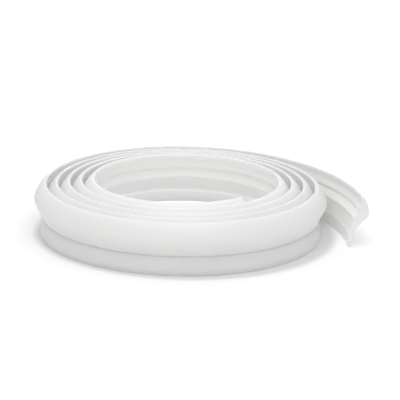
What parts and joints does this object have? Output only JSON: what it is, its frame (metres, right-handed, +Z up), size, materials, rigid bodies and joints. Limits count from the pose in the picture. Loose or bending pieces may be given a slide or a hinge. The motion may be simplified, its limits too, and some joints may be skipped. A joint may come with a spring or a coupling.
{
  "type": "window sill connection profile coil",
  "caption": "Strip of soft white plastic edge profile with a bulged cap and a tapered foot, wound into a flat standing coil with its free end led off.",
  "frame": {"origin": "middle of the bounding box at the level of the strip's foot, on which the coil stands", "axes": "+Z up out of the coil's flat side, along its bore; +X to the right, where the free end leaves the outer turn; the free end points to -Y"},
  "size_m": [0.212, 0.1898, 0.037],
  "materials": {
    "profile_plastic": "soft white extruded plastic, satin, slightly translucent at thin edges"
  },
  "bodies": {
    "root": {"connection_profile": "profile_plastic"}
  },
  "joints": []
}
